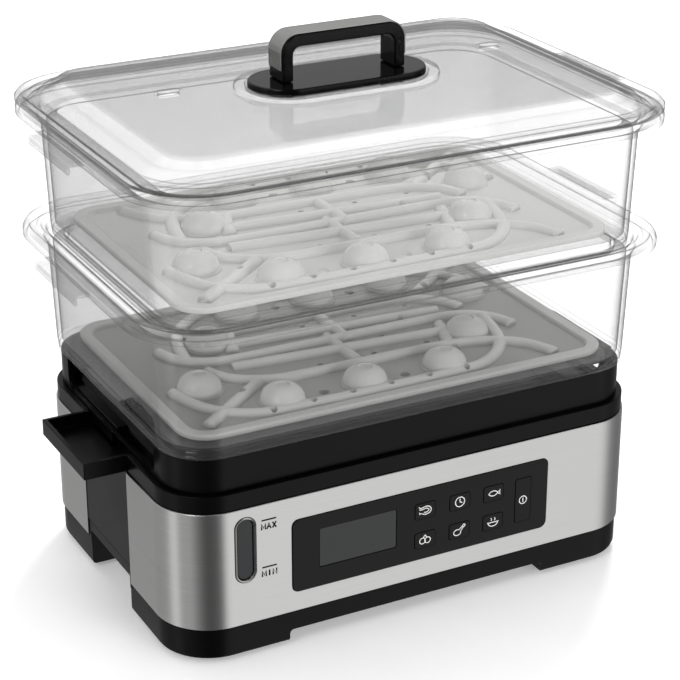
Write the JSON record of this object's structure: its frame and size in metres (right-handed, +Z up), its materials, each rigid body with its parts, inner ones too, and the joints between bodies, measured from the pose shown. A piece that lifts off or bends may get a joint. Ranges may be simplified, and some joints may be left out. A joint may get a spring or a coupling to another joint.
{
  "type": "electric food steamer",
  "caption": "Rectangular electric food steamer with stacked clear trays, egg-holder plates, clear lid with arch handle, side water scoops and a front button panel.",
  "frame": {"origin": "on the table at the middle of the footprint", "axes": "+Z up, -Y towards the control panel, +X to the user's right"},
  "size_m": [0.357, 0.2392, 0.3293],
  "materials": {
    "black_plastic": "fine satin moulded",
    "gloss_black": "polished moulded",
    "steel": "horizontal brushing",
    "clear_plastic": "polished clear moulding",
    "smoke_plastic": "translucent grey moulding",
    "rubber": "matt",
    "board": "solder-resist green",
    "brass": "drawn tube",
    "float_red": "moulded",
    "ceramic": "moulded",
    "dark_plastic": "satin moulded"
  },
  "bodies": {
    "base": {"base_pan": "black_plastic", "rubber_foot_1": "rubber", "rubber_foot_2": "rubber", "rubber_foot_3": "rubber", "rubber_foot_4": "rubber", "base_screw_1": "steel", "base_screw_2": "steel", "base_screw_3": "steel", "base_screw_4": "steel", "steel_front": "steel", "steel_back": "steel", "cord_gland": "black_plastic", "collar_lower": "black_plastic", "collar_upper": "black_plastic", "spout_left": "black_plastic", "spout_right": "black_plastic", "water_tank": "dark_plastic", "heater_plate": "steel", "heating_element": "brass", "thermal_cutout": "ceramic", "window_bezel": "steel", "level_window": "clear_plastic", "fascia": "gloss_black", "display_window": "gloss_black", "display_module": "smoke_plastic", "switch_1": "dark_plastic", "switch_2": "dark_plastic", "switch_3": "dark_plastic", "switch_4": "dark_plastic", "switch_5": "dark_plastic", "switch_6": "dark_plastic", "switch_7": "dark_plastic", "control_board": "board", "power_board": "board"},
    "float": {"level_float": "float_red"},
    "drip_tray": {"drip_tray": "dark_plastic"},
    "lower_tray": {"lower_tray": "clear_plastic"},
    "lower_plate": {"lower_plate": "smoke_plastic"},
    "upper_tray": {"upper_tray": "clear_plastic"},
    "upper_plate": {"upper_plate": "smoke_plastic"},
    "lid": {"lid": "clear_plastic", "handle_base": "black_plastic", "handle_arch": "gloss_black", "handle_strip": "steel"},
    "key_seafood": {"button_seafood": "gloss_black"},
    "key_timer": {"button_timer": "gloss_black"},
    "key_fish": {"button_fish": "gloss_black"},
    "key_vegetable": {"button_vegetable": "gloss_black"},
    "key_meat": {"button_meat": "gloss_black"},
    "key_keep_warm": {"button_keep_warm": "gloss_black"},
    "key_power": {"button_power": "gloss_black"}
  },
  "joints": [
    {"name": "press_seafood", "type": "slide", "parent": "base", "child": "key_seafood", "axis": [0, 1, 0], "range_m": [0, 0.0008], "stiffness_N_per_m": 800},
    {"name": "press_timer", "type": "slide", "parent": "base", "child": "key_timer", "axis": [0, 1, 0], "range_m": [0, 0.0008], "stiffness_N_per_m": 800},
    {"name": "press_fish", "type": "slide", "parent": "base", "child": "key_fish", "axis": [0, 1, 0], "range_m": [0, 0.0008], "stiffness_N_per_m": 800},
    {"name": "press_vegetable", "type": "slide", "parent": "base", "child": "key_vegetable", "axis": [0, 1, 0], "range_m": [0, 0.0008], "stiffness_N_per_m": 800},
    {"name": "press_meat", "type": "slide", "parent": "base", "child": "key_meat", "axis": [0, 1, 0], "range_m": [0, 0.0008], "stiffness_N_per_m": 800},
    {"name": "press_keep_warm", "type": "slide", "parent": "base", "child": "key_keep_warm", "axis": [0, 1, 0], "range_m": [0, 0.0008], "stiffness_N_per_m": 800},
    {"name": "press_power", "type": "slide", "parent": "base", "child": "key_power", "axis": [0, 1, 0], "range_m": [0, 0.0008], "stiffness_N_per_m": 800},
    {"name": "float_rise", "type": "slide", "parent": "base", "child": "float", "axis": [0, 0, 1], "range_m": [0, 0.022]},
    {"name": "drip_tray_lift", "type": "slide", "parent": "base", "child": "drip_tray", "axis": [0, 0, 1], "range_m": [0, 0.1]},
    {"name": "lower_tray_lift", "type": "slide", "parent": "drip_tray", "child": "lower_tray", "axis": [0, 0, 1], "range_m": [0, 0.1]},
    {"name": "lower_plate_lift", "type": "slide", "parent": "lower_tray", "child": "lower_plate", "axis": [0, 0, 1], "range_m": [0, 0.04]},
    {"name": "upper_tray_lift", "type": "slide", "parent": "lower_tray", "child": "upper_tray", "axis": [0, 0, 1], "range_m": [0, 0.1]},
    {"name": "upper_plate_lift", "type": "slide", "parent": "upper_tray", "child": "upper_plate", "axis": [0, 0, 1], "range_m": [0, 0.04]},
    {"name": "lid_lift", "type": "slide", "parent": "upper_tray", "child": "lid", "axis": [0, 0, 1], "range_m": [0, 0.12]}
  ]
}
